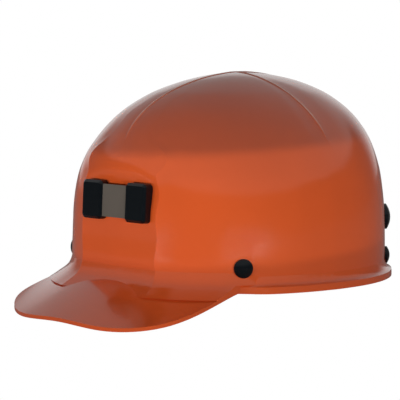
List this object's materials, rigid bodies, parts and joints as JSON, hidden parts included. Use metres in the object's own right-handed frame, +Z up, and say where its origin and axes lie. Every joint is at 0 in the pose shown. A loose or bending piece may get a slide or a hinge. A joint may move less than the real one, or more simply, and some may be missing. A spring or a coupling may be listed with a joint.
{
  "type": "miner's protective cap with lamp bracket",
  "caption": "Low-profile hard cap with a ridged moulded crown, short front peak, lamp bracket on the front, cord holder at the rear and a webbing head suspension inside",
  "frame": {"origin": "centre of the bounding box, on the table", "axes": "front of the cap at -Y, wearer's left at +X, up is +Z, the cap stands on its peak edge and the rear of its rim"},
  "size_m": [0.2276, 0.299, 0.1576],
  "materials": {
    "shell_plastic": "glossy moulded",
    "black_plastic": "glossy",
    "bracket_metal": "satin grey",
    "trim_metal": "zinc plated",
    "suspension_plastic": "satin",
    "webbing": "woven",
    "brow_fabric": "terry cloth over foam"
  },
  "bodies": {
    "cap": {"shell": "shell_plastic", "lamp_plate": "bracket_metal", "lamp_block_left": "black_plastic", "lamp_block_right": "black_plastic", "lamp_screw_left": "trim_metal", "lamp_screw_right": "trim_metal", "cord_holder": "black_plastic", "rivet_right_front": "black_plastic", "washer_right_front": "trim_metal", "rivet_left_front": "black_plastic", "washer_left_front": "trim_metal", "rivet_right_rear": "black_plastic", "washer_right_rear": "trim_metal", "rivet_left_rear": "black_plastic", "washer_left_rear": "trim_metal", "holder_rivet_right": "trim_metal", "holder_washer_right": "trim_metal", "holder_rivet_left": "trim_metal", "holder_washer_left": "trim_metal"},
    "suspension": {"headband": "suspension_plastic", "brow_pad": "brow_fabric", "key_left_front": "suspension_plastic", "key_right_front": "suspension_plastic", "key_left_rear": "suspension_plastic", "key_right_rear": "suspension_plastic", "strap_lower": "webbing", "strap_upper": "webbing", "crown_disc": "suspension_plastic", "nape_guide_left": "suspension_plastic", "nape_guide_right": "suspension_plastic"},
    "nape": {"nape_strap": "suspension_plastic"}
  },
  "joints": [
    {"name": "suspension_release", "type": "slide", "parent": "cap", "child": "suspension", "axis": [0, -0.0663, -0.9978], "range_m": [0, 0.03]},
    {"name": "nape_size", "type": "slide", "parent": "suspension", "child": "nape", "axis": [0, 0.9978, -0.0663], "range_m": [-0.007, 0.008]}
  ]
}
